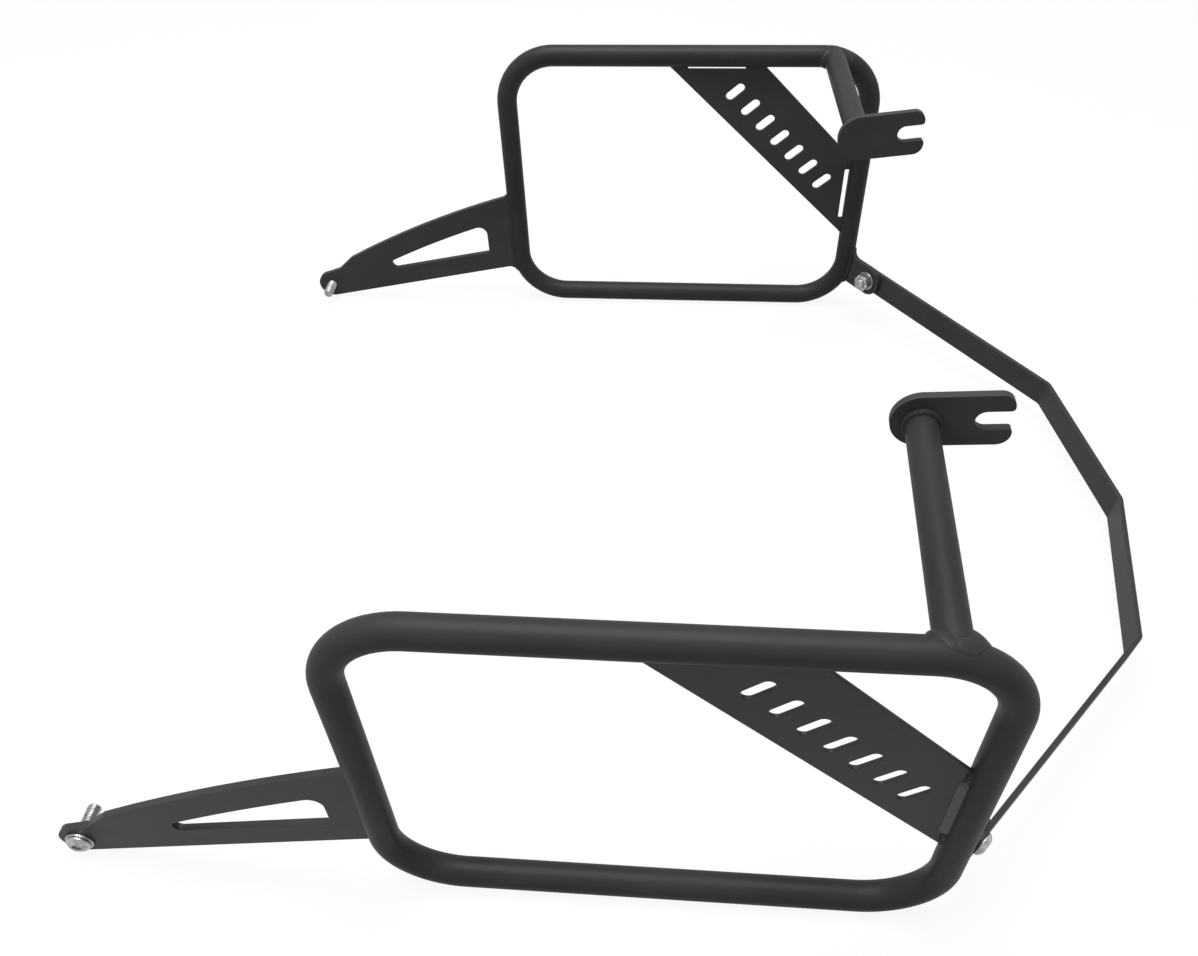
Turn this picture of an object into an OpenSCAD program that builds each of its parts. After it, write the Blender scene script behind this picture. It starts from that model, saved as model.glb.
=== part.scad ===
// Pannier frame: two welded tube loops, one for each side of a motorbike, joined by a bolted rear strap.
// +X points to the back of the bike, +Y to its right and +Z up. The two bottom rails rest on z = 0.

/* [Loops] */
// Outside diameter of the loop and stand-off tubes
tube_od = 16; // [14:0.5:18]
// Length of a loop between the centrelines of its upright tubes
loop_length = 289; // [285:1:300]
// Height of a loop between the centrelines of its rails
loop_height = 218; // [214:1:224]
// Centreline radius of the loop's corner bends
bend_r = 40; // [36:1:42]
// Distance between the centre planes of the two loops
loop_spread = 556.5; // [540:0.5:580]

/* [Gusset plates] */
// Thickness of a gusset plate
gusset_t = 2; // [1.5:0.5:3]
// Distance of the band's lower edge from the loop's upper rear centreline corner, along the upper rail
gusset_front = 166; // [162:1:170]
// Distance of the band's lower edge from that corner, along the rear tube
gusset_low = 160; // [156:1:164]
// Distance of the band's upper edge from that corner, along both tubes
gusset_top = 91.5; // [88:0.5:96]
// Length of the relief gap between a gusset and each tube
relief_length = 45; // [35:1:46]
// Depth of the relief gap under the upper rail
top_relief = 2; // [1.5:0.5:4]
// Depth of the relief gap beside the rear tube
rear_relief = 3.5; // [2:0.5:5]
// Length of the gusset's front tab on the upper rail
top_tab = 14; // [8:0.5:16]
// Length of the gusset's upper tab on the rear tube
rear_tab = 10; // [4:0.5:14]
// Number of slanted slots along the band
slot_count = 7; // [4:1:7]
// Width of a slanted slot
slot_w = 7; // [5:0.5:8]
// Height of a slanted slot across the band
slot_h = 17; // [14:1:20]
// Lean of the slanted slots
slot_lean = 4; // [0:1:20]
// Distance from one slanted slot to the next
slot_pitch = 18; // [16:0.5:18.5]
// Distance of the slots' middle line from the band's upper edge
slot_axis = 30; // [26:0.5:33]
// Distance of the row's middle behind the loop's middle
band_mid_x = 77; // [72:1:79]

/* [Front arms] */
// Thickness of a front arm plate
arm_t = 4; // [3:0.5:5]
// Distance of the arm's centre plane inboard of its loop's centre plane
arm_inset = 4; // [3:0.5:5]
// Distance of the eye's centre in front of the loop's front tube
eye_reach = 181; // [176:0.5:186]
// Height of the eye's centre above the bottom rail's centreline
eye_rise = 5; // [3:0.5:7]
// Outside radius of the eye
eye_r = 12; // [11:0.5:13]
// Width of the band left along the arm's upper edge
arm_top_band = 19.5; // [17:0.5:22]
// Width of the band left along the arm's lower edge
arm_low_band = 17.5; // [15:0.5:20]

/* [Stand-offs and fork plates] */
// Thickness of a fork plate
fork_t = 4; // [3:0.5:5]
// Distance between the inboard faces of the two fork plates
fork_spread = 281; // [275:0.5:290]
// Distance from the stand-off's foot to the loop's rear tube
standoff_back = 32.5; // [30:0.5:36]
// How far the stand-off leans back on its way to the fork plate
standoff_lean = 6; // [0:0.5:8]
// Length of a fork plate from its rounded end to its prong tips
fork_length = 56.5; // [54:0.5:60]
// Height of a fork plate across its prongs
fork_height = 30.5; // [29:0.5:32]
// Upward tilt of a fork plate's prongs
fork_tilt = 6; // [0:0.5:8]
// Width of the open slot between the prongs
fork_slot_w = 11; // [9:0.5:12]
// Depth of the open slot
fork_slot_depth = 17.5; // [15:0.5:22]

/* [Rear strap] */
// Width of the strap's flat bar
strap_w = 20; // [18:0.5:24]
// Thickness of the strap's flat bar
strap_t = 3; // [2.5:0.5:4]
// Downward tilt of the strap behind its bolts
strap_tilt = 5; // [0:0.5:6]
// Distance of the outer bends behind the loop's rear tube
strap_bend_back = 142; // [135:1:150]
// Distance of an outer bend from the middle plane
strap_bend_side = 120.5; // [110:0.5:130]
// Distance of the middle bend behind the loop's rear tube
strap_mid_back = 164; // [158:1:172]
// Inside radius of the strap's bends
strap_bend_r = 6; // [4:0.5:10]

/* [Strap lugs] */
// Thickness of a strap lug
lug_t = 4; // [3:0.5:5]
// Radius of the lug's rounded end
lug_r = 12.5; // [11:0.5:13]
// Distance from the rear tube's centreline to the strap bolt
lug_reach = 29; // [28:0.5:32]
// Height of the strap bolt above the bottom rail's centreline
strap_bolt_rise = 31; // [29:0.5:34]

/* [Screws] */
// Thread diameter of all screws
screw_d = 8; // [8:1:8]
// Extra diameter of a clearance hole
hole_clearance = 0.5; // [0.3:0.1:1]
// Diameter of a button head
head_d = 14; // [13:0.5:15]
// Height of a button head
head_h = 4.4; // [4:0.1:5]
// Width across flats of the socket in a head
socket_af = 5; // [4:0.5:5.5]
// Outside diameter of a washer
washer_od = 16; // [15:0.5:18]
// Thickness of a washer
washer_t = 1.6; // [1.2:0.1:2]
// Width across flats of a nut
nut_af = 13; // [12:0.5:13.5]
// Height of a nut
nut_h = 6.5; // [5:0.5:7]
// Length of a front screw under its head
front_screw_length = 22; // [18:1:30]
// Length of a strap screw under its head
strap_screw_length = 18; // [16:1:22]

/* [Hidden] */
$fn = 96;

tube_r = tube_od / 2;
half_length = loop_length / 2;
loop_y = loop_spread / 2;
hole_d = screw_d + hole_clearance;

// The strap's lug points along the strap's first leg, which passes the outer bend beside the lug.
stack = (lug_t + strap_t) / 2;
leg_dist = norm([strap_bend_back, loop_y - strap_bend_side]);
lug_yaw = atan2(loop_y - strap_bend_side, strap_bend_back) + asin(stack / leg_dist);
lug_dir = [cos(lug_yaw), -sin(lug_yaw)];
lug_out = [sin(lug_yaw), cos(lug_yaw)];
strap_bolt = [half_length, loop_y] + lug_reach * lug_dir;
outer_bend = [half_length + strap_bend_back, strap_bend_side];
mid_bend = [half_length + strap_mid_back, 0];

// The origin is the middle of the whole frame in plan.
mid_turn = 2 * atan2(strap_mid_back - strap_bend_back, strap_bend_side);
mid_cut = (strap_bend_r + strap_t / 2) * (1 / cos(mid_turn / 2) - 1);
strap_back = strap_bolt[0] + (mid_bend[0] - mid_cut + strap_t / 2 - strap_bolt[0]) * cos(strap_tilt)
    + strap_w / 2 * sin(strap_tilt);
arm_tip = -half_length - eye_reach - eye_r;
origin_x = (strap_back + arm_tip) / 2;

function unit(v) = v / norm(v);

function flat(v) = [v[0], v[1]];

// One corner from p over q to s, rounded to radius r: its centre, both tangent points, r and the turn's sense
function corner(p, q, s, r) =
    let (
        a = unit(p - q),
        b = unit(s - q),
        half = acos(a * b) / 2
    )
    [q + unit(a + b) * r / sin(half), q + a * r / tan(half), q + b * r / tan(half), r, sign(cross(q - p, s - q))];

// The corners of a closed outline whose points are given as [x, y, radius]
function corners(v) = [for (i = [0:len(v) - 1])
    corner(flat(v[(i + len(v) - 1) % len(v)]), flat(v[i]), flat(v[(i + 1) % len(v)]), v[i][2])];

// Draws such an outline, given counterclockwise; every radius becomes a true arc
module rounded(v) {
    all = corners(v);
    difference() {
        union() {
            polygon([for (c = all) each c[3] > 0 ? [c[1], c[2]] : [c[0]]]);
            for (c = all)
                if (c[3] > 0 && c[4] > 0)
                    translate(c[0])
                        circle(r = c[3]);
        }
        for (c = all)
            if (c[3] > 0 && c[4] < 0)
                translate(c[0])
                    circle(r = c[3]);
    }
}

// A plate drawn in x and z, t thick and centred on y = 0
module plate(t) {
    rotate([90, 0, 0])
        linear_extrude(t, center = true)
            children();
}

// Puts a piece drawn for the right loop, around the loop's centre plane, on one side of the bike
module onSide(side) {
    translate([-origin_x, 0, tube_r])
        if (side > 0) translate([0, loop_y, 0]) children();
        else mirror([0, 1, 0]) translate([0, loop_y, 0]) children();
}

// The tilted frame of the strap: x from the strap bolts, z from the strap's middle
module strapFrame() {
    translate([strap_bolt[0], 0, strap_bolt_rise])
        rotate([0, strap_tilt, 0])
            children();
}

// A lug's own frame inside the strap frame: x along the strap, y outward through the bolt
module lugFrame() {
    translate([0, strap_bolt[1], 0])
        rotate([0, 0, -lug_yaw])
            children();
}

// Rail or upright between two bends
module straightTube(len) {
    cylinder(h = len, r = tube_r);
}

module loopTube() {
    x = half_length - bend_r;
    z0 = bend_r;
    z1 = loop_height - bend_r;
    for (z = [0, loop_height])
        translate([-x, 0, z])
            rotate([0, 90, 0])
                straightTube(2 * x);
    for (s = [-1, 1])
        translate([s * half_length, 0, z0])
            straightTube(z1 - z0);
    for (k = [0:3])
        translate([k == 0 || k == 3 ? x : -x, 0, k < 2 ? z1 : z0])
            rotate([90, 0, 0])
                rotate_extrude(angle = 90, start = 90 * k)
                    translate([bend_r, 0])
                        circle(r = tube_r);
}

module gussetOutline() {
    polygon([
        [half_length - gusset_front, loop_height],
        [half_length - gusset_top, loop_height],
        [half_length, loop_height - gusset_top],
        [half_length, loop_height - gusset_low]
    ]);
}

// Gap left between the gusset and a tube that runs along x, so that only the tabs beside it are welded
module reliefOutline(depth) {
    rounded([
        [0, -depth, 1],
        [relief_length, -depth, 1],
        [relief_length, tube_r, 0],
        [0, tube_r, 0]
    ]);
}

// Slanted slot with round ends
module slotOutline() {
    rotate(-slot_lean) {
        square([slot_w, slot_h - slot_w], center = true);
        for (s = [-1, 1])
            translate([0, s * (slot_h - slot_w) / 2])
                circle(d = slot_w);
    }
}

module gusset() {
    up = half_length + loop_height - gusset_top;
    rail_under = loop_height - tube_r;
    post_front = half_length - tube_r;
    tab_front = half_length - gusset_front * (1 - tube_r / gusset_low);
    slot_mid = [band_mid_x, up - band_mid_x - slot_axis * sqrt(2)];
    difference() {
        plate(gusset_t)
            difference() {
                gussetOutline();
                translate([tab_front + top_tab, rail_under])
                    reliefOutline(top_relief);
                translate([post_front, up - post_front - rear_tab])
                    rotate(-90)
                        reliefOutline(rear_relief);
                translate(slot_mid)
                    rotate(-45)
                        for (i = [0:slot_count - 1])
                            translate([(i - (slot_count - 1) / 2) * slot_pitch, 0])
                                slotOutline();
            }
        loopTube();
    }
}

// Upper edge of a front arm: a shallow arc between the shoulder and the loop's front tube
eye_c = [-half_length - eye_reach, eye_rise];
arm_root = [-half_length, loop_height * 0.459];
arm_shoulder = [-half_length - 157.5, 33.5];
arm_crown = 4.5;
arm_chord = norm(arm_root - arm_shoulder);
arm_top_r = arm_chord * arm_chord / 8 / arm_crown + arm_crown / 2;
arm_top_dir = unit(arm_root - arm_shoulder);
arm_top_c = (arm_root + arm_shoulder) / 2 - (arm_top_r - arm_crown) * [-arm_top_dir[1], arm_top_dir[0]];
arm_low_slope = 11.7;

// Point of the arc parallel to the arm's upper edge, at a given x
function topAt(x, inset) =
    let (r = arm_top_r - inset)
    [x, arm_top_c[1] + sqrt(r * r - pow(x - arm_top_c[0], 2))];

// Point of the line parallel to the arm's lower edge, at a given x
function lowAt(x, inset) =
    [x, eye_c[1] - eye_r / cos(arm_low_slope) + (x - eye_c[0]) * tan(arm_low_slope) + inset / cos(arm_low_slope)];

function withR(p, r) = [p[0], p[1], r];

// Starts on the eye's rim, runs along the lower edge to the loop and back along the upper edge
module armOutline() {
    front_x = -half_length;
    n = 12;
    step = (front_x - 6.9 - arm_shoulder[0]) / n;
    crown = topAt(front_x - 6.4, 0);
    rounded(concat(
        [[eye_c[0] + eye_r * sin(arm_low_slope), eye_c[1] - eye_r * cos(arm_low_slope), 0]],
        [withR(lowAt(front_x - 6.1, 0), 7)],
        [[front_x - 3.9, bend_r - 16.6, 0]],
        [[front_x + 5, bend_r - 13.5, 0]],
        [[front_x + 1, bend_r, 0]],
        [[front_x + 1, crown[1] + 5.5, 0]],
        [[front_x - 6.3, crown[1] + 5.5, 0]],
        [withR(crown, 7)],
        [for (i = [n - 1:-1:1]) withR(topAt(arm_shoulder[0] + i * step, 0), 0)],
        [withR(arm_shoulder, 5)],
        [[eye_c[0] + 10, eye_c[1] + 16.2, 7]],
        [[eye_c[0] - eye_r * sin(10), eye_c[1] + eye_r * cos(10), 0]],
        [[eye_c[0], eye_c[1], 0]]
    ));
}

// Window between the arm's two bands
module armWindow() {
    end_x = -half_length - 28;
    tip_x = -half_length - 119.5;
    n = 8;
    step = (end_x - tip_x) / n;
    rounded(concat(
        [withR(lowAt(tip_x - 0.5, arm_low_band), 4)],
        [withR(lowAt(end_x, arm_low_band), 1)],
        [withR(topAt(end_x, arm_top_band), 7)],
        [for (i = [n - 1:-1:1]) withR(topAt(tip_x + i * step, arm_top_band), 0)],
        [withR(topAt(tip_x, arm_top_band), 4)]
    ));
}

module frontArm() {
    translate([0, -arm_inset, 0])
        difference() {
            plate(arm_t)
                difference() {
                    union() {
                        armOutline();
                        translate(eye_c) circle(r = eye_r);
                    }
                    armWindow();
                }
            translate([eye_c[0], 0, eye_c[1]])
                rotate([90, 0, 0])
                    cylinder(h = 3 * arm_t, d = hole_d, center = true);
            translate([0, arm_inset, 0])
                loopTube();
        }
}

// The stand-off's own frame: it starts on the upper rail and points inboard along -y
standoff_foot = half_length - standoff_back;
standoff_drop = loop_y - fork_spread / 2;
standoff_yaw = atan2(standoff_lean, standoff_drop);
standoff_length = norm([standoff_lean, standoff_drop]) - fork_t;

module standoffFrame() {
    translate([standoff_foot, 0, loop_height])
        rotate([0, 0, standoff_yaw])
            children();
}

module standoff() {
    difference() {
        standoffFrame()
            rotate([90, 0, 0])
                cylinder(h = standoff_length, r = tube_r);
        loopTube();
    }
}

// Open slot between the prongs, with its mouth at x = 0 and the prongs' inner corners eased
module forkSlot() {
    gap = fork_slot_w / 2;
    lip = 2;
    translate([gap - fork_slot_depth, 0])
        circle(r = gap);
    translate([gap - fork_slot_depth, -gap])
        square([fork_slot_depth, fork_slot_w]);
    difference() {
        translate([-lip, -gap - lip])
            square([2 * lip, fork_slot_w + 2 * lip]);
        for (s = [-1, 1])
            translate([-lip, s * (gap + lip)])
                circle(r = lip);
    }
}

// Drawn about the stand-off's axis with the prongs towards +x
module forkOutline() {
    rise = 1.6;
    half = fork_height / 2;
    x0 = 0.5 - half;
    x1 = x0 + fork_length;
    translate([0, rise])
        difference() {
            rounded([[x0, -half, half - 0.1], [x1, -half, 7], [x1, half, 7], [x0, half, half - 0.1]]);
            translate([x1, 0])
                forkSlot();
        }
}

module forkPlate() {
    standoffFrame()
        translate([0, -standoff_length - fork_t / 2, 0])
            rotate([0, -fork_tilt, 0])
                plate(fork_t)
                    forkOutline();
}

// The lug's rounded end is the circle around the strap bolt; the other end sinks into the loop's tube
module lugOutline() {
    root = -lug_reach - 1;
    wall = tube_r - lug_reach;
    rounded([
        [0, -lug_r, 0],
        [0, lug_r, 0],
        [wall + 0.6, lug_r, 7],
        [wall - 0.4, lug_r + 7.6, 0],
        [root, lug_r + 7.6, 0],
        [root, -lug_r - 4, 0],
        [wall - 7.5, -lug_r - 3.2, 0],
        [wall - 4, -lug_r, 4]
    ]);
}

module strapLug() {
    difference() {
        translate([0, -loop_y, 0])
            strapFrame()
                lugFrame()
                    difference() {
                        plate(lug_t) {
                            lugOutline();
                            circle(r = lug_r);
                        }
                        rotate([90, 0, 0])
                            cylinder(h = 3 * lug_t, d = hole_d, center = true);
                    }
        loopTube();
    }
}

// Points of an arc around c from angle a0 to a1
function arc(c, r, a0, a1) =
    let (n = max(2, ceil(abs(a1 - a0) / 3)))
    [for (i = [0:n]) c + r * [cos(a0 + (a1 - a0) * i / n), sin(a0 + (a1 - a0) * i / n)]];

// One edge of the strap in plan, off its middle line by half a thickness on one side
function strapEdge(s, b, m, side) =
    let (
        r = strap_bend_r + strap_t / 2,
        h1 = -lug_yaw,
        h2 = atan2(m[1] - b[1], m[0] - b[0]),
        c1 = b + (r / cos((h1 - h2) / 2)) * [cos((h1 + h2) / 2 - 90), sin((h1 + h2) / 2 - 90)],
        c2 = [m[0] - r / cos(h2 + 90), 0],
        q = r + side * strap_t / 2
    )
    concat(
        [s + side * strap_t / 2 * [-sin(h1), cos(h1)]],
        arc(c1, q, h1 + 90, h2 + 90),
        arc(c2, q, h2 + 90, 0)
    );

function mirrored(v) = [for (i = [len(v) - 2:-1:0]) [v[i][0], -v[i][1]]];

module rearStrap() {
    o = [strap_bolt[0], 0];
    s = strap_bolt + stack * lug_out - o;
    outer = strapEdge(s, outer_bend - o, mid_bend - o, 1);
    inner = strapEdge(s, outer_bend - o, mid_bend - o, -1);
    inside = concat(inner, mirrored(inner));
    difference() {
        union() {
            linear_extrude(strap_w, center = true)
                polygon(concat(outer, mirrored(outer), [for (i = [len(inside) - 1:-1:0]) inside[i]]));
            atStrapEnds(s)
                cylinder(h = strap_t, r = strap_w / 2, center = true);
        }
        atStrapEnds(s)
            cylinder(h = 3 * strap_t, d = hole_d, center = true);
    }
}

// Both ends of the strap, along the strap bolts' axes
module atStrapEnds(s) {
    for (side = [0, 1])
        mirror([0, side, 0])
            translate([s[0], s[1], 0])
                rotate([0, 0, -lug_yaw])
                    rotate([90, 0, 0])
                        children();
}

// Button-head screw pointing along -z, with the underside of its head at z = 0
module screw(len) {
    dome_r = 9.5;
    socket_depth = 2.6;
    thread_chamfer = 1;
    difference() {
        union() {
            intersection() {
                cylinder(h = head_h, d = head_d);
                translate([0, 0, head_h - dome_r])
                    sphere(r = dome_r);
            }
            translate([0, 0, thread_chamfer - len])
                cylinder(h = len - thread_chamfer, d = screw_d);
            translate([0, 0, -len])
                cylinder(h = thread_chamfer, d1 = screw_d - 2 * thread_chamfer, d2 = screw_d);
        }
        translate([0, 0, head_h - socket_depth])
            cylinder(h = socket_depth + 1, d = socket_af / cos(30), $fn = 6);
    }
}

module washer() {
    difference() {
        cylinder(h = washer_t, d = washer_od);
        translate([0, 0, -1])
            cylinder(h = washer_t + 2, d = hole_d);
    }
}

// Hex nut with chamfered corners, threaded on a screw of diameter screw_d
module nut() {
    across = nut_af / cos(30);
    chamfer_h = 1;
    difference() {
        intersection() {
            cylinder(h = nut_h, d = across, $fn = 6);
            union() {
                cylinder(h = chamfer_h, d1 = nut_af, d2 = across + 0.4);
                translate([0, 0, chamfer_h])
                    cylinder(h = nut_h - 2 * chamfer_h, d = across + 0.4);
                translate([0, 0, nut_h - chamfer_h])
                    cylinder(h = chamfer_h, d1 = across + 0.4, d2 = nut_af);
            }
        }
        translate([0, 0, -1])
            cylinder(h = nut_h + 2, d = screw_d);
    }
}

// Along the eye's axis, from the outboard face of the arm outwards
module atEye(out) {
    translate([eye_c[0], arm_t / 2 - arm_inset + out, eye_c[1]])
        rotate([-90, 0, 0])
            children();
}

// Along a strap bolt, from the middle of the lug outwards
module atStrapBolt(out) {
    translate([0, -loop_y, 0])
        strapFrame()
            lugFrame()
                translate([0, out, 0])
                    rotate([-90, 0, 0])
                        children();
}

module loop_left() {
    color("#2c2c2e")
        onSide(-1)
            loopTube();
}

module loop_right() {
    color("#2c2c2e")
        onSide(1)
            loopTube();
}

module gusset_left() {
    color("#303032")
        onSide(-1)
            gusset();
}

module gusset_right() {
    color("#303032")
        onSide(1)
            gusset();
}

module front_arm_left() {
    color("#303032")
        onSide(-1)
            frontArm();
}

module front_arm_right() {
    color("#303032")
        onSide(1)
            frontArm();
}

module standoff_left() {
    color("#2c2c2e")
        onSide(-1)
            standoff();
}

module standoff_right() {
    color("#2c2c2e")
        onSide(1)
            standoff();
}

module fork_plate_left() {
    color("#303032")
        onSide(-1)
            forkPlate();
}

module fork_plate_right() {
    color("#303032")
        onSide(1)
            forkPlate();
}

module strap_lug_left() {
    color("#303032")
        onSide(-1)
            strapLug();
}

module strap_lug_right() {
    color("#303032")
        onSide(1)
            strapLug();
}

module rear_strap() {
    color("#303032")
        translate([-origin_x, 0, tube_r])
            strapFrame()
                rearStrap();
}

module front_screw_left() {
    color("#c4c6c8")
        onSide(-1)
            atEye(washer_t) screw(front_screw_length);
}

module front_screw_right() {
    color("#c4c6c8")
        onSide(1)
            atEye(washer_t) screw(front_screw_length);
}

module front_washer_left() {
    color("#b8babc")
        onSide(-1)
            atEye(0) washer();
}

module front_washer_right() {
    color("#b8babc")
        onSide(1)
            atEye(0) washer();
}

module strap_screw_left() {
    color("#c4c6c8")
        onSide(-1)
            atStrapBolt(lug_t / 2 + strap_t) screw(strap_screw_length);
}

module strap_screw_right() {
    color("#c4c6c8")
        onSide(1)
            atStrapBolt(lug_t / 2 + strap_t) screw(strap_screw_length);
}

module strap_washer_left() {
    color("#b8babc")
        onSide(-1)
            atStrapBolt(-lug_t / 2 - washer_t) washer();
}

module strap_washer_right() {
    color("#b8babc")
        onSide(1)
            atStrapBolt(-lug_t / 2 - washer_t) washer();
}

module strap_nut_left() {
    color("#c4c6c8")
        onSide(-1)
            atStrapBolt(-lug_t / 2 - washer_t - nut_h) nut();
}

module strap_nut_right() {
    color("#c4c6c8")
        onSide(1)
            atStrapBolt(-lug_t / 2 - washer_t - nut_h) nut();
}

loop_left();
loop_right();
gusset_left();
gusset_right();
front_arm_left();
front_arm_right();
standoff_left();
standoff_right();
fork_plate_left();
fork_plate_right();
strap_lug_left();
strap_lug_right();
rear_strap();
front_screw_left();
front_screw_right();
front_washer_left();
front_washer_right();
strap_screw_left();
strap_screw_right();
strap_washer_left();
strap_washer_right();
strap_nut_left();
strap_nut_right();
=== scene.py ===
import math

import bpy
from mathutils import Matrix, Vector


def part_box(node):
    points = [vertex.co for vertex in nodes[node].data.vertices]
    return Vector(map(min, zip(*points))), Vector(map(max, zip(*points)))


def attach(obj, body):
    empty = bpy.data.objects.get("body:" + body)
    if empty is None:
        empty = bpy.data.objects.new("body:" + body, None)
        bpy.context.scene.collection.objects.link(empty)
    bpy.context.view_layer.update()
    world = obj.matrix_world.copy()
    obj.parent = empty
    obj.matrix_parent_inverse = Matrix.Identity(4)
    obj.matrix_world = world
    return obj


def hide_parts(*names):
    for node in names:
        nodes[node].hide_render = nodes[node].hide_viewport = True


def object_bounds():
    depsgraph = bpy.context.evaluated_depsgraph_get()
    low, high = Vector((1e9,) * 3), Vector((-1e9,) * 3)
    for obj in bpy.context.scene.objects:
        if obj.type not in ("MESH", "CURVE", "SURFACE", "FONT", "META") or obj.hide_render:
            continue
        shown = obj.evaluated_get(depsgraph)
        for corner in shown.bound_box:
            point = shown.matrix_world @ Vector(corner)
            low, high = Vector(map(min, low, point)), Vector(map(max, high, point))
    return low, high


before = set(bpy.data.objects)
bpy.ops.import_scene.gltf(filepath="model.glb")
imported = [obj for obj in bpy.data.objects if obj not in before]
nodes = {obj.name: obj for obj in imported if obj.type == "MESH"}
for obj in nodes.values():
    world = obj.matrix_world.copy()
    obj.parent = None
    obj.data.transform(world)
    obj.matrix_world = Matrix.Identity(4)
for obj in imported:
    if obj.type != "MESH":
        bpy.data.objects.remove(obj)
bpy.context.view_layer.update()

tau = 2 * math.pi
print("frame loaded:", len(nodes), "solids")


# One output of a node, so that shader maths can be written as plain arithmetic
class Wire:
    def __init__(self, shader, socket):
        self.shader = shader
        self.socket = socket

    def maths(self, operation, first, second):
        return self.shader.node("ShaderNodeMath", {"operation": operation}, {0: first, 1: second})

    def __add__(self, other):
        return self.maths("ADD", self, other)

    def __sub__(self, other):
        return self.maths("SUBTRACT", self, other)

    def __rsub__(self, other):
        return self.maths("SUBTRACT", other, self)

    def __mul__(self, other):
        return self.maths("MULTIPLY", self, other)

    __radd__ = __add__
    __rmul__ = __mul__


# A node tree that is filled from code: settings first, then the sockets' values or wires
class Shader:
    def __init__(self, tree):
        self.tree = tree
        tree.nodes.clear()

    def node(self, kind, settings=None, sockets=None, out=0):
        made = self.tree.nodes.new(kind)
        for key, value in (settings or {}).items():
            if key == "stops":
                self.setStops(made.color_ramp, value)
            else:
                setattr(made, key, value)
        for key, value in (sockets or {}).items():
            if isinstance(value, Wire):
                self.tree.links.new(value.socket, made.inputs[key])
            else:
                made.inputs[key].default_value = value
        return Wire(self, made.outputs[out]) if made.outputs else made

    def setStops(self, ramp, stops):
        while len(ramp.elements) < len(stops):
            ramp.elements.new(1.0)
        for element, (place, level) in zip(ramp.elements, stops):
            element.position = place
            element.color = (level, level, level, 1)

    # Black below the first level, white above the second
    def between(self, wire, low, high):
        return self.node("ShaderNodeValToRGB", {"stops": [(low, 0.0), (high, 1.0)]}, {"Fac": wire})

    def noise(self, place, scale, detail, roughness):
        sockets = {"Vector": place, "Scale": scale, "Detail": detail, "Roughness": roughness}
        return self.node("ShaderNodeTexNoise", None, sockets, out="Fac")

    def patches(self, place, scale, detail, roughness, low, high):
        return self.between(self.noise(place, scale, detail, roughness), low, high)

    def mixColour(self, mask, first, second):
        return self.node("ShaderNodeMix", {"data_type": "RGBA"}, {0: mask, 6: first, 7: second}, out=2)

    def surface(self, wire):
        self.node("ShaderNodeOutputMaterial", None, {"Surface": wire})


def clamp(value, low=0.0, high=1.0):
    return max(low, min(high, value))


def centreOf(node):
    low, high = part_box(node)
    return (low + high) / 2


def newMaterial(name):
    material = bpy.data.materials.new(name)
    material.use_nodes = True
    return material, Shader(material.node_tree)


# Satin black powder coat: slight orange peel, clouded gloss, thinner and brighter along the edges
powderCoat = {
    "coal": (0.0150, 0.0150, 0.0160, 1),
    "ash": (0.0240, 0.0238, 0.0240, 1),
    "edge": (0.0460, 0.0450, 0.0440, 1),
    "roughness": 0.42,
    "plateGloss": 0.125,      # specular level
    "tubeGloss": 0.075,
    "tubeShadeTint": 0.80,         # painted shade: the tubes' coat is made a little darker than the plates' so that they look more shaded
    "fillHighlightTint": 2.4,          # painted highlight: the strip beside the left gusset is lighter, standing in for the lit flank of the rear tube
    "fillDepth": 0.5,
    # patches: cells in a metre, detail, roughness, black below, white above
    "cloud": (14.0, 3.0, 0.5, 0.35, 0.68),
    "smudge": (55.0, 4.0, 0.6, 0.52, 0.74),
    "nick": (160.0, 3.0, 0.6, 0.30, 0.62),
    # plain noise: cells in a metre, detail, roughness
    "peel": (330.0, 2.0, 0.45),
    "grain": (2300.0, 1.0, 0.5),
    "fill": (90.0, 3.0, 0.5),
    # how much ash the patches bring, and how much rougher they and the grain make the coat
    "cloudAsh": 0.55,
    "smudgeAsh": 0.25,
    "cloudRough": 0.07,
    "smudgeRough": 0.05,
    "grainRough": 0.04,
    # the worn rim along an edge
    "edgeRadius": 0.0006,
    "rim": (0.01, 0.16),
    "rimShare": 0.30,
    "nickShare": 0.45,
    "rimSmooth": 0.10,
    # the relief of peel and grain
    "bump": 0.16,
    "bumpHeight": 0.0004,
    "peelShare": 0.75,        # of the bump; the grain has the rest
}
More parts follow.
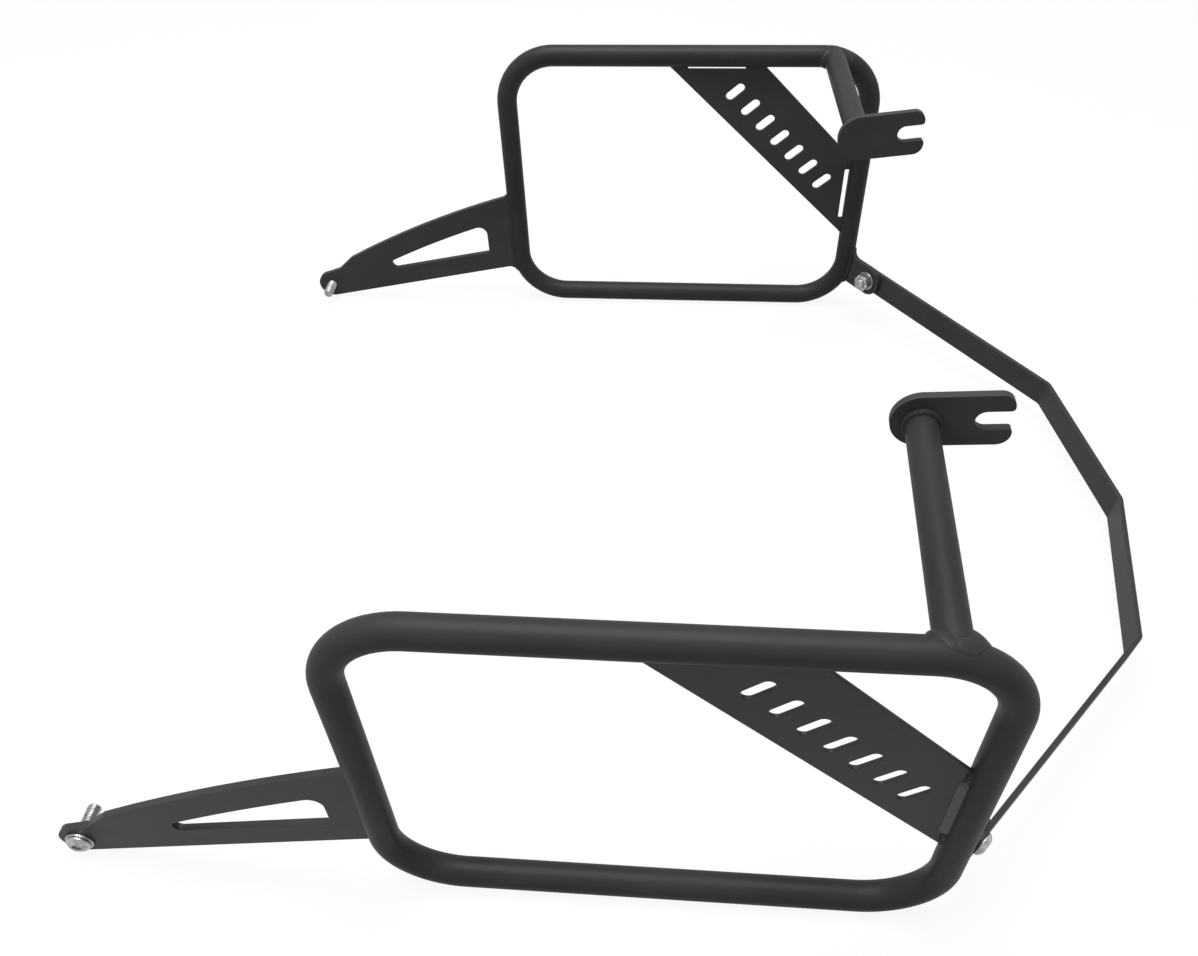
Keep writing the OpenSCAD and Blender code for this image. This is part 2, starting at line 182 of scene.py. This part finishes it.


# The tint darkens or lightens the coat as painted shade or painted highlight, and the depth is how far clouds
# take the tint down
def powderCoatMaterial(name, gloss, tint=1.0, depth=0.0):
    o = powderCoat
    material, s = newMaterial(name)
    place = s.node("ShaderNodeTexCoord", out="Object")
    cloud = s.patches(place, *o["cloud"])
    smudge = s.patches(place, *o["smudge"])
    nick = s.patches(place, *o["nick"])
    peel = s.noise(place, *o["peel"])
    grain = s.noise(place, *o["grain"])
    eased = s.node("ShaderNodeBevel", {"samples": 6}, {"Radius": o["edgeRadius"]})
    facing = s.node("ShaderNodeNewGeometry", out="True Normal")
    turn = s.node("ShaderNodeVectorMath", {"operation": "DOT_PRODUCT"}, {0: eased, 1: facing}, out="Value")
    rim = s.between(1 - turn, *o["rim"])
    colour = s.mixColour(cloud * o["cloudAsh"] + smudge * o["smudgeAsh"], o["coal"], o["ash"])
    if depth:
        tint = tint - s.noise(place, *o["fill"]) * depth
    # the tint scales the coat: painted shade on the tubes, painted highlight on the filler strip
    colour = s.node("ShaderNodeVectorMath", {"operation": "SCALE"}, {0: colour, "Scale": tint})
    colour = s.mixColour(rim * (o["rimShare"] + nick * o["nickShare"]), colour, o["edge"])
    rough = o["roughness"] + cloud * o["cloudRough"] + smudge * o["smudgeRough"]
    rough = rough + grain * o["grainRough"] - rim * o["rimSmooth"]
    height = peel * o["peelShare"] + grain * (1 - o["peelShare"])
    bump = s.node("ShaderNodeBump", None, {
        "Strength": o["bump"], "Distance": o["bumpHeight"], "Height": height, "Normal": eased,
    })
    s.surface(s.node("ShaderNodeBsdfPrincipled", None, {
        "Base Color": colour, "Roughness": rough, "Normal": bump, "Specular IOR Level": gloss,
    }))
    return material


# Bright zinc plating with a fine satin grain and a little dulling in patches
zinc = {
    "bright": (0.44, 0.438, 0.435, 1),
    "dull": (0.19, 0.186, 0.18, 1),
    "roughness": 0.28,
    "patch": (260.0, 3.0, 0.6, 0.38, 0.66),       # as the powder coat's patches and grain
    "grain": (3200.0, 2.0, 0.5),
    "patchDull": 0.9,
    "patchRough": 0.12,
    "grainRough": 0.06,
    "edgeRadius": 0.00025,
    "bump": 0.12,
    "bumpHeight": 0.0002,
}


def zincMaterial(name):
    o = zinc
    material, s = newMaterial(name)
    place = s.node("ShaderNodeTexCoord", out="Object")
    patch = s.patches(place, *o["patch"])
    grain = s.noise(place, *o["grain"])
    colour = s.mixColour(patch * o["patchDull"], o["bright"], o["dull"])
    rough = o["roughness"] + patch * o["patchRough"] + grain * o["grainRough"]
    eased = s.node("ShaderNodeBevel", {"samples": 4}, {"Radius": o["edgeRadius"]})
    bump = s.node("ShaderNodeBump", None, {
        "Strength": o["bump"], "Distance": o["bumpHeight"], "Height": grain, "Normal": eased,
    })
    s.surface(s.node("ShaderNodeBsdfPrincipled", None, {
        "Base Color": colour, "Metallic": 1.0, "Roughness": rough, "Normal": bump,
    }))
    return material


coated = powderCoatMaterial("plate_powder_coat", powderCoat["plateGloss"])
# The loops, stand-offs and weld beads get the coat darkened by the tube tint, as painted shade
shadedTubeCoat = powderCoatMaterial("tube_powder_coat_painted_shade", powderCoat["tubeGloss"], powderCoat["tubeShadeTint"])
# The strip beside the left gusset gets a lightened coat, a painted highlight in place of the rear tube's lit
# flank
highlightFillCoat = powderCoatMaterial("filler_painted_highlight_coat", powderCoat["plateGloss"], powderCoat["fillHighlightTint"],
                                powderCoat["fillDepth"])
plated = zincMaterial("bright_zinc")
finishes = {"loop": shadedTubeCoat, "standoff": shadedTubeCoat, "screw": plated, "washer": plated, "nut": plated}
for name, solid in nodes.items():
    special = [finishes[word] for word in finishes if word in name]
    solid.data.materials.clear()
    solid.data.materials.append(special[0] if special else coated)
print("finishes made")


# The loops' own sizes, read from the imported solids; only the bends' radius is written here
loopLow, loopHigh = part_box("loop_right")
tubeRadius = (loopHigh.y - loopLow.y) / 2
loop = {
    "middle": centreOf("loop_right"),
    "halfLength": (loopHigh.x - loopLow.x) / 2 - tubeRadius,
    "halfHeight": (loopHigh.z - loopLow.z) / 2 - tubeRadius,
    "bendRadius": 0.040,
}


sides = (("right", 1), ("left", -1))


# Rings with the same number of points become one closed mesh
def ringPiece(name, rings, place, material, endless=False, sharp=32):
    count = len(rings[0])
    points = [place @ Vector(p) for ring in rings for p in ring]
    faces = []
    steps = len(rings) if endless else len(rings) - 1
    for i in range(steps):
        j = (i + 1) % len(rings)
        for k in range(count):
            m = (k + 1) % count
            faces.append((i * count + k, i * count + m, j * count + m, j * count + k))
    if not endless:
        for first, back in ((0, True), ((len(rings) - 1) * count, False)):
            points.append(sum((points[first + k] for k in range(count)), Vector()) / count)
            tip = len(points) - 1
            for k in range(count):
                pair = (first + k, first + (k + 1) % count)
                faces.append((tip, pair[1], pair[0]) if back else (tip, pair[0], pair[1]))
    mesh = bpy.data.meshes.new(name)
    mesh.from_pydata([tuple(p) for p in points], [], faces)
    if volumeOf(mesh) < 0:
        mesh.flip_normals()
    mesh.shade_smooth()
    mesh.set_sharp_from_angle(angle=math.radians(sharp))
    mesh.validate()
    mesh.materials.append(material)
    piece = bpy.data.objects.new(name, mesh)
    bpy.context.scene.collection.objects.link(piece)
    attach(piece, "root")
    return piece


def volumeOf(mesh):
    mesh.calc_loop_triangles()
    total = 0.0
    for tri in mesh.loop_triangles:
        a, b, c = (mesh.vertices[v].co for v in tri.vertices)
        total += a.dot(b.cross(c)) / 6
    return total


def circleRing(radius, z, count):
    return [(radius * math.cos(tau * k / count), radius * math.sin(tau * k / count), z) for k in range(count)]


# Distance from the axis to the side of a hexagon, its corners eased
def hexRadius(acrossFlats, angle, ease=0.0):
    turn = (angle % (tau / 6)) - tau / 12
    sharp = acrossFlats / 2 / math.cos(turn)
    return min(sharp, acrossFlats / 2 / math.cos(tau / 12) - ease)


def hexRing(acrossFlats, z, count, ease=0.0):
    ring = []
    for k in range(count):
        angle = tau * k / count
        r = hexRadius(acrossFlats, angle, ease)
        ring.append((r * math.cos(angle), r * math.sin(angle), z))
    return ring


# M8 button-head screw with a hex socket and a rolled thread; the head's underside is at z = 0
screwSizes = {
    "thread": 0.008,
    "pitch": 0.00125,
    "threadDepth": 0.00055,
    "threadEase": 0.00004,    # the crests lie this far inside the nominal radius
    "crest": 0.12,            # share of the pitch that is flat, at the crests and at the roots
    "neck": 0.0007,           # from the last thread ring to the head
    "headWidth": 0.014,
    "headHeight": 0.0044,
    "dome": 0.0095,           # radius of the head's top
    "socket": 0.005,
    "socketDepth": 0.0026,
    "mouthEase": 0.00055,     # countersink round the socket's corners
    "cornerEase": 0.0001,     # the socket's own corners
    "chamfer": 0.001,         # at the shank's tip
    "runout": 0.0012,         # plain shank below the head
    "runoutFade": 0.0015,     # where the thread grows to its full depth
    "domeRings": 8,
    "points": 72,
    "stepsPerTurn": 12,
}


def screwRings(length):
    o = screwSizes
    n = o["points"]
    rings = []
    # the thread, from its tip up to the head
    radius = o["thread"] / 2
    steps = int(round(length / o["pitch"] * o["stepsPerTurn"]))
    for i in range(steps):
        z = -length + (length - o["neck"]) * i / (steps - 1)
        fade = clamp((-z - o["runout"]) / o["runoutFade"])
        ring = []
        for k in range(n):
            angle = tau * k / n
            phase = (z / o["pitch"] - k / n) % 1.0
            groove = clamp((abs(phase - 0.5) * 2 - o["crest"]) / (1 - 2 * o["crest"]))
            r = radius - o["threadEase"] - o["threadDepth"] * groove * fade
            r = min(r, radius - o["chamfer"] + z + length)
            ring.append((r * math.cos(angle), r * math.sin(angle), z))
        rings.append(ring)
    # the head: flat underside, short rim, dome
    head = o["headWidth"] / 2
    dome = o["dome"]
    centre = o["headHeight"] - dome
    rimTop = centre + math.sqrt(dome ** 2 - head ** 2)
    profile = [
        (radius, -0.0004), (radius + 0.0003, 0.0), (head - 0.0005, 0.0), (head - 0.00012, 0.00012),
        (head, 0.0004), (head, rimTop - 0.00035), (head - 0.00008, rimTop - 0.0001),
    ]
    mouth = o["socket"] / 2 / math.cos(tau / 12) + o["mouthEase"]
    rimEdge, mouthEdge = head - 0.0004, mouth + 0.0003
    for i in range(o["domeRings"] + 1):
        r = rimEdge + (mouthEdge - rimEdge) * i / o["domeRings"]
        profile.append((r, centre + math.sqrt(dome ** 2 - r ** 2)))
    lip = centre + math.sqrt(dome ** 2 - mouth ** 2)
    profile.append((mouth, lip - 0.00008))
    rings += [circleRing(r, z, n) for r, z in profile]
    # the socket: countersink, six walls, drilled bottom
    bottom = o["headHeight"] - o["socketDepth"]
    walls = ((0.0003, lip - 0.00045), (0.0, lip - 0.0007), (0.0, bottom + 0.0002), (-0.0003, bottom))
    rings += [hexRing(o["socket"] + extra, z, n, o["cornerEase"]) for extra, z in walls]
    rings.append(circleRing(o["socket"] / 2 - 0.0004, bottom - 0.0001, n))
    rings.append(circleRing(0.0006, bottom - 0.0009, n))
    return rings


# Stamped washer, rounded on the side that the punch entered
washerSizes = {
    "outer": 0.016,
    "inner": 0.0085,
    "thickness": 0.0016,
    "points": 96,
}


def washerRings():
    o = washerSizes
    r, q, t = o["outer"] / 2, o["inner"] / 2, o["thickness"] / 2
    profile = [
        (q, -t + 0.0001), (q + 0.0001, -t), (r - 0.0002, -t), (r - 0.00005, -t + 0.00006), (r, -t + 0.0002),
        (r, t - 0.00045), (r - 0.00007, t - 0.0002), (r - 0.00022, t - 0.00006), (r - 0.00045, t),
        (q + 0.0003, t), (q + 0.0001, t - 0.00006), (q, t - 0.00022),
    ]
    return [circleRing(radius, z, o["points"]) for radius, z in profile]


# Hex nut with turned chamfers and a countersunk bore, its middle at z = 0
nutSizes = {
    "acrossFlats": 0.013,
    "height": 0.0065,
    "bore": 0.0081,
    "slope": 0.55,        # how fast a chamfer falls towards the corners
    "cornerEase": 0.00012,
    "countersink": 0.00045,
    "edge": 0.00008,      # the small step where a chamfer meets the flats
    "points": 96,
}


def nutRings():
    o = nutSizes
    n = o["points"]
    half = o["height"] / 2
    bore = o["bore"] / 2
    crown = o["acrossFlats"] / 2 - 0.00025

    def side(sign, inset):
        ring = []
        for k in range(n):
            angle = tau * k / n
            r = hexRadius(o["acrossFlats"], angle, o["cornerEase"]) - inset
            z = sign * (half - max(0.0, r - crown) * o["slope"] - (0.0 if inset else o["edge"]))
            ring.append((r * math.cos(angle), r * math.sin(angle), z))
        return ring

    mouth = bore + o["countersink"]
    rings = [circleRing(bore, -half + 0.0005, n), circleRing(mouth, -half, n)]
    rings += [circleRing(crown, -half, n), side(-1, o["edge"]), side(-1, 0.0)]
    rings += [side(1, 0.0), side(1, o["edge"]), circleRing(crown, half, n)]
    rings += [circleRing(mouth, half, n), circleRing(bore, half - 0.0005, n)]
    return rings


def onAxis(point, direction, turn=0.0):
    aim = direction.to_track_quat("Z", "Y").to_matrix().to_4x4()
    return Matrix.Translation(point) @ aim @ Matrix.Rotation(turn, 4, "Z")


# Where the bolts are: the eyes' bolts run across the bike, the strap's follow the strap's first leg
bolts = {
    "frontScrew": 0.022,
    "strapScrew": 0.018,
    "lugYaw": 48.74,      # degrees
    "strapTilt": 5.0,     # degrees
    "stack": 0.007,       # lug and strap together
    "frontTurn": 0.3,     # how far the sockets are turned, in radians
    "strapTurn": 0.8,
}


# The strap and its lugs stand in a tilted frame: the bolt's axis, the way to the tube and the way up
def strapFrame(side):
    yaw, tilt = math.radians(bolts["lugYaw"]), math.radians(bolts["strapTilt"])
    along = Vector((math.sin(yaw) * math.cos(tilt), side * math.cos(yaw), -math.sin(yaw) * math.sin(tilt)))
    toTube = Vector((-math.cos(yaw) * math.cos(tilt), side * math.sin(yaw), math.cos(yaw) * math.sin(tilt)))
    up = Vector((math.sin(tilt), 0, math.cos(tilt)))
    return along, toTube, up


def boltOn(sideName, side):
    across = Vector((0, side, 0))
    along = strapFrame(side)[0]
    half = washerSizes["thickness"] / 2
    eyeDisc = centreOf("front_washer_" + sideName)
    lugDisc = centreOf("strap_washer_" + sideName)
    nut = centreOf("strap_nut_" + sideName)
    eyeSeat = onAxis(eyeDisc + across * half, across, bolts["frontTurn"])
    lugSeat = onAxis(lugDisc + along * (half + bolts["stack"]), along, bolts["strapTurn"])
    jobs = (
        ("front_bolt_", "front_screw_", screwRings(bolts["frontScrew"]), eyeSeat, False),
        ("front_disc_", "front_washer_", washerRings(), onAxis(eyeDisc, across), True),
        ("strap_bolt_", "strap_screw_", screwRings(bolts["strapScrew"]), lugSeat, False),
        ("strap_disc_", "strap_washer_", washerRings(), onAxis(lugDisc, -along), True),
        ("strap_hexnut_", "strap_nut_", nutRings(), onAxis(nut, along), True),
    )
    for name, node, rings, place, endless in jobs:
        piece = ringPiece(name + sideName, rings, place, plated, endless)
        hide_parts(node + sideName)


for sideName, side in sides:
    boltOn(sideName, side)
print("bolts, washers and nuts made")


# Nearest point on the middle line of a loop, a rectangle with round corners. It holds for points outside the
# loop, and for those inside it that are closer to the line than the bends' radius
def footOnLoop(point, side):
    m = loop["middle"]
    x, z = point.x - m.x, point.z - m.z
    ix, iz = loop["halfLength"] - loop["bendRadius"], loop["halfHeight"] - loop["bendRadius"]
    cx, cz = clamp(x, -ix, ix), clamp(z, -iz, iz)
    dx, dz = x - cx, z - cz
    far = math.hypot(dx, dz)
    if far > 1e-9:
        fx, fz = cx + dx / far * loop["bendRadius"], cz + dz / far * loop["bendRadius"]
    else:
        fx, fz = cx, math.copysign(loop["halfHeight"], z)
    return Vector((m.x + fx, side * m.y, m.z + fz))


def offTube(point, side):
    out = point - footOnLoop(point, side)
    return out.length - tubeRadius, out.normalized()


def ontoTube(point, side):
    foot = footOnLoop(point, side)
    return foot + (point - foot).normalized() * tubeRadius


# Goes from a free point straight to the tube and stops a hair above it, so that it can't pass by on a tangent
def seamPoint(start, heading, side, reach=0.05):
    step = 0.0004
    hair = 0.00012
    travelled = 0.0
    while travelled < reach and offTube(start + heading * travelled, side)[0] > hair:
        travelled += step
    low, high = max(0.0, travelled - step), travelled
    for _ in range(24):
        middle = (low + high) / 2
        if offTube(start + heading * middle, side)[0] > hair:
            low = middle
        else:
            high = middle
    return start + heading * high


# Weld bead: a swept fillet whose crown is rippled like overlapping scales
welds = {
    "crown": 0.00055,
    "ripple": 0.00022,
    "pitch": 0.0021,      # from scale to scale
    "step": 0.00035,      # between two stations
    "sink": 0.0006,       # how far the root lies inside the metal
    "taper": 0.0035,      # length of a bead's ends
    "tip": 0.08,          # what is left of the bead at its very end
    "heel": 0.35,         # how far the hidden sides come in towards the root
    "acrossBead": 9,
    "sharp": 60,          # edges steeper than this stay crisp
    "approach": 0.02,     # gusset and arm seams are searched from this far off the tube's middle line
}
plateFaces = ((1, "out"), (-1, "in"))     # seen from the motorbike's middle


def beadPiece(name, stations, closed, filler=False):
    # a station is (seam, end on the first face, end on the second face, outward)
    o = welds
    lengths = [0.0]
    for a, b in zip(stations, stations[1:]):
        lengths.append(lengths[-1] + (b[0] - a[0]).length)
    total = lengths[-1] + ((stations[0][0] - stations[-1][0]).length if closed else 0.0)
    scales = max(1, round(total / o["pitch"]))
    rings = []
    for run, (seam, first, second, outward) in zip(lengths, stations):
        grow = 1.0
        if not closed:
            near = clamp(min(run, total - run) / o["taper"])
            grow = math.sqrt(1 - (1 - near) ** 2) * (1 - o["tip"]) + o["tip"]
        phase = (run / total * scales) % 1.0
        scale = 0.0 if filler else (1 - phase) ** 2 * o["ripple"]
        first = seam + (first - seam) * grow
        second = seam + (second - seam) * grow
        ring = []
        for i in range(o["acrossBead"]):
            t = i / (o["acrossBead"] - 1)
            hump = 4 * t * (1 - t)
            ring.append(first.lerp(second, t) + outward * hump * grow * (o["crown"] + scale))
        sink = outward * o["sink"] * grow
        root = seam - sink
        ring += [second.lerp(root, o["heel"]) - sink / 2, root, first.lerp(root, o["heel"]) - sink / 2]
        rings.append(ring)
    # the filler strip takes the coat with the painted highlight, the other beads the tube coat with its
    # painted shade
    coat = highlightFillCoat if filler else shadedTubeCoat
    ringPiece(name, rings, Matrix.Identity(4), coat, closed, o["sharp"])


standoff = {
    "back": 0.0325,       # from the rear tube's middle line to the stand-off's foot
    "yaw": 2.593,         # degrees from square to the loop
    "footLeg": 0.0030,    # the bead's legs, on the stand-off and on the rail
    "railLeg": 0.0038,
    "rearLeg": 0.0030,    # extra on the side of the bend
    "rearShare": 0.8,     # how much of the extra the stand-off's leg gets
    "ringLeg": 0.0022,    # at the fork plate
    "smoothing": 6,
    "points": 170,
    "clear": 0.03,        # the seam is searched from this far inboard
}


def standoffWelds(sideName, side):
    o = standoff
    yaw = math.radians(o["yaw"])
    m = loop["middle"]
    foot = Vector((m.x + loop["halfLength"] - o["back"], side * m.y, m.z + loop["halfHeight"]))
    inboard = Vector((math.sin(yaw), -side * math.cos(yaw), 0))
    up = Vector((0, 0, 1))
    along = inboard.cross(up) * -side
    count = o["points"]
    radials = [along * math.cos(tau * k / count) + up * math.sin(tau * k / count) for k in range(count)]
    clear = inboard * o["clear"]
    seams = [seamPoint(foot + r * tubeRadius + clear, -inboard, side, o["clear"]) for r in radials]
    for _ in range(o["smoothing"]):
        seams = [(seams[k - 1] + seams[k] * 2 + seams[(k + 1) % count]) / 4 for k in range(count)]
    stations = []
    for k, (radial, seam) in enumerate(zip(radials, seams)):
        grip = offTube(seam, side)[1]
        run = seams[(k + 1) % count] - seams[k - 1]
        slide = run.cross(grip).normalized()
        if slide.dot(radial - inboard) < 0:
            slide = -slide
        rear = max(0.0, radial.x) ** 2
        onRail = ontoTube(seam + slide * (o["railLeg"] + rear * o["rearLeg"]), side)
        onStandoff = seam + inboard * (o["footLeg"] + rear * o["rearLeg"] * o["rearShare"])
        stations.append((seam, onStandoff, onRail, (radial + grip).normalized()))
    beadPiece("weld_standoff_" + sideName, stations, True)
    # the ring where the stand-off ends on the fork plate
    low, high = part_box("standoff_" + sideName)
    reach = (min(abs(low.y), abs(high.y)) - abs(side * m.y)) / -math.cos(yaw)
    end = foot + inboard * (reach - tubeRadius * math.tan(yaw))
    stations = []
    for radial in radials:
        seam = end + radial * tubeRadius
        outward = (radial - inboard).normalized()
        stations.append((seam, seam - inboard * o["ringLeg"], seam + radial * o["ringLeg"], outward))
    beadPiece("weld_fork_" + sideName, stations, True)


for sideName, side in sides:
    standoffWelds(sideName, side)
print("stand-off welds made")


# Straight runs of weld between a plate's face and the loop's tube
def faceWeld(name, side, start, end, heading, faceOut, legPlate, legTube, filler=False):
    count = max(8, int((end - start).length / welds["step"]))
    stations = []
    for k in range(count + 1):
        seam = seamPoint(start.lerp(end, k / count), heading, side)
        grip = offTube(seam, side)[1]
        slide = faceOut - grip * faceOut.dot(grip)
        onTube = ontoTube(seam + slide.normalized() * legTube, side)
        stations.append((seam, seam - heading * legPlate, onTube, (faceOut + grip).normalized()))
    beadPiece(name, stations, False, filler)


gusset = {
    "half": 0.0010,       # half the plate's thickness
    "railTabs": ((-0.0128, 0.0004), (0.0462, 0.0606)),   # from the loop's middle, along the rail
    "postTabs": ((0.0661, 0.0792), (0.1249, 0.1341)),    # above the bottom rail's middle line
    "leg": 0.0020,
    "filledSide": -1,     # the left, where a smooth strip closes the gap beside the rear tube
    "filledRun": (0.0775, 0.1265),
    "filledLeg": 0.0040,
}
arm = {
    "inset": 0.004,       # from the loop's plane towards the motorbike's middle
    "half": 0.002,
    "run": (0.0270, 0.0985),      # above the bottom rail's middle line
    "leg": 0.0022,
}
lug = {
    "half": 0.002,
    "start": 0.016,       # from the bolt towards the tube
    "run": (-0.0150, 0.0185),     # below and above the bolt
    "leg": 0.0021,
}


def plateWelds(sideName, side):
    m = loop["middle"]
    base = m.z - loop["halfHeight"]
    nearRail = m.z + loop["halfHeight"] - welds["approach"]
    nearRear = m.x + loop["halfLength"] - welds["approach"]
    nearFront = m.x - loop["halfLength"] - welds["approach"]
    up, back = Vector((0, 0, 1)), Vector((1, 0, 0))
    for face, word in plateFaces:
        faceOut = Vector((0, side * face, 0))
        y = side * (m.y + face * gusset["half"])
        for i, (a, b) in enumerate(gusset["railTabs"]):
            start, end = (Vector((m.x + x, y, nearRail)) for x in (a, b))
            faceWeld(f"weld_gusset_rail{i}_{word}_{sideName}", side, start, end, up, faceOut,
                     gusset["leg"], gusset["leg"])
        runs = [(f"post{i}", tab, gusset["leg"], False) for i, tab in enumerate(gusset["postTabs"])]
        if side == gusset["filledSide"] and face > 0:
            runs.append(("strip", gusset["filledRun"], gusset["filledLeg"], True))
        for run, (a, b), leg, filler in runs:
            start, end = (Vector((nearRear, y, base + z)) for z in (a, b))
            faceWeld(f"weld_gusset_{run}_{word}_{sideName}", side, start, end, back, faceOut,
                     leg, gusset["leg"], filler)
        y = side * (m.y - arm["inset"] + face * arm["half"])
        start, end = (Vector((nearFront, y, base + z)) for z in arm["run"])
        faceWeld(f"weld_arm_{word}_{sideName}", side, start, end, back, faceOut, arm["leg"], arm["leg"])


def lugWelds(sideName, side):
    along, toTube, up = strapFrame(side)
    bolt = centreOf("strap_washer_" + sideName) + along * (lug["half"] + washerSizes["thickness"] / 2)
    for face, word in plateFaces:
        faceOut = along * face
        corner = bolt + faceOut * lug["half"] + toTube * lug["start"]
        start, end = (corner + up * h for h in lug["run"])
        faceWeld(f"weld_lug_{word}_{sideName}", side, start, end, toTube, faceOut, lug["leg"], lug["leg"])


for sideName, side in sides:
    plateWelds(sideName, side)
    lugWelds(sideName, side)
print("plate welds made")


# Studio: a pale floor that keeps a light shadow, white all round, a broad lamp above and three low ones
studio = {
    "floorSize": 8.0,
    "floorColour": (0.45, 0.45, 0.45, 1),
    "shadowShare": 0.09,      # how much of the lit floor shows under the white
    "floorDrop": 0.0002,      # below the rails, so that no two faces share a plane
    "fadeFrom": (0.30, 0.60), # the floor turns plain white between these parts of its half width
    "worldLevel": 0.14,
    "aim": (0, 0, 0.1),       # what the lamps point at
    "lamps": (                # name, place, width, power, seen in reflections
        ("overhead", (-0.20, 0.15, 2.2), 1.8, 120.0, True),
        ("near_side", (-0.45, -1.35, 0.65), 1.0, 10.3, False),
        ("front_end", (-1.7, -0.3, 1.3), 1.2, 18.0, False),
        ("back_end", (2.0, -0.5, 0.6), 1.2, 14.0, False),
    ),
}


def seenRays(s):
    path = "ShaderNodeLightPath"
    direct = s.node(path, out="Is Camera Ray")
    glossy = s.node(path, out="Is Glossy Ray")
    through = s.node(path, out="Is Transmission Ray")
    return s.node("ShaderNodeMath", {"operation": "MINIMUM"}, {0: direct + glossy + through, 1: 1.0})


def makeFloor():
    half = studio["floorSize"] / 2
    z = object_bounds()[0][2] - studio["floorDrop"]
    mesh = bpy.data.meshes.new("floor")
    corners = [(-half, -half, z), (half, -half, z), (half, half, z), (-half, half, z)]
    mesh.from_pydata(corners, [], [(0, 1, 2, 3)])
    material, s = newMaterial("white_floor")
    plain = s.node("ShaderNodeBsdfDiffuse", None, {"Color": studio["floorColour"]})
    white = s.node("ShaderNodeEmission", None, {"Color": (1, 1, 1, 1), "Strength": 1.0})
    place = s.node("ShaderNodeTexCoord", out="Object")
    away = s.node("ShaderNodeVectorMath", {"operation": "LENGTH"}, {0: place}, out="Value")
    near = 1 - s.between(away * (1 / half), *studio["fadeFrom"])
    share = seenRays(s) * (1 - near * studio["shadowShare"])
    s.surface(s.node("ShaderNodeMixShader", None, {0: share, 1: plain, 2: white}))
    mesh.materials.append(material)
    floor = bpy.data.objects.new("floor", mesh)
    bpy.context.scene.collection.objects.link(floor)


def makeWorld():
    world = bpy.data.worlds.new("studio")
    bpy.context.scene.world = world
    world.use_nodes = True
    s = Shader(world.node_tree)
    soft = s.node("ShaderNodeBackground", None, {"Color": (1, 1, 1, 1), "Strength": studio["worldLevel"]})
    white = s.node("ShaderNodeBackground", None, {"Color": (1, 1, 1, 1), "Strength": 1.0})
    mixed = s.node("ShaderNodeMixShader", None, {0: seenRays(s), 1: soft, 2: white})
    s.node("ShaderNodeOutputWorld", None, {"Surface": mixed})


def makeLamps():
    target = Vector(studio["aim"])
    for name, place, size, power, mirrored in studio["lamps"]:
        light = bpy.data.lights.new(name, "AREA")
        light.shape = "DISK"
        light.size = size
        light.energy = power
        lamp = bpy.data.objects.new(name, light)
        lamp.location = place
        lamp.rotation_euler = (target - Vector(place)).to_track_quat("-Z", "Y").to_euler()
        lamp.visible_glossy = mirrored
        bpy.context.scene.collection.objects.link(lamp)


# The photograph's own viewpoint
camera = {
    "place": (0.016366, -0.520740, 0.558162),
    "turn": (45.2208, 1.6934, 4.3971),        # degrees
    "lens": 30.9863,
    "sensor": 36.0,
    "clip": 0.01,
}


def makeCamera():
    data = bpy.data.cameras.new("camera")
    data.lens = camera["lens"]
    data.sensor_width = camera["sensor"]
    data.sensor_fit = "HORIZONTAL"
    data.clip_start = camera["clip"]
    eye = bpy.data.objects.new("camera", data)
    eye.location = camera["place"]
    eye.rotation_euler = [math.radians(a) for a in camera["turn"]]
    bpy.context.scene.collection.objects.link(eye)
    bpy.context.scene.camera = eye


makeFloor()
makeWorld()
makeLamps()
makeCamera()
bpy.context.scene.view_settings.view_transform = "Standard"
print("studio and camera made")
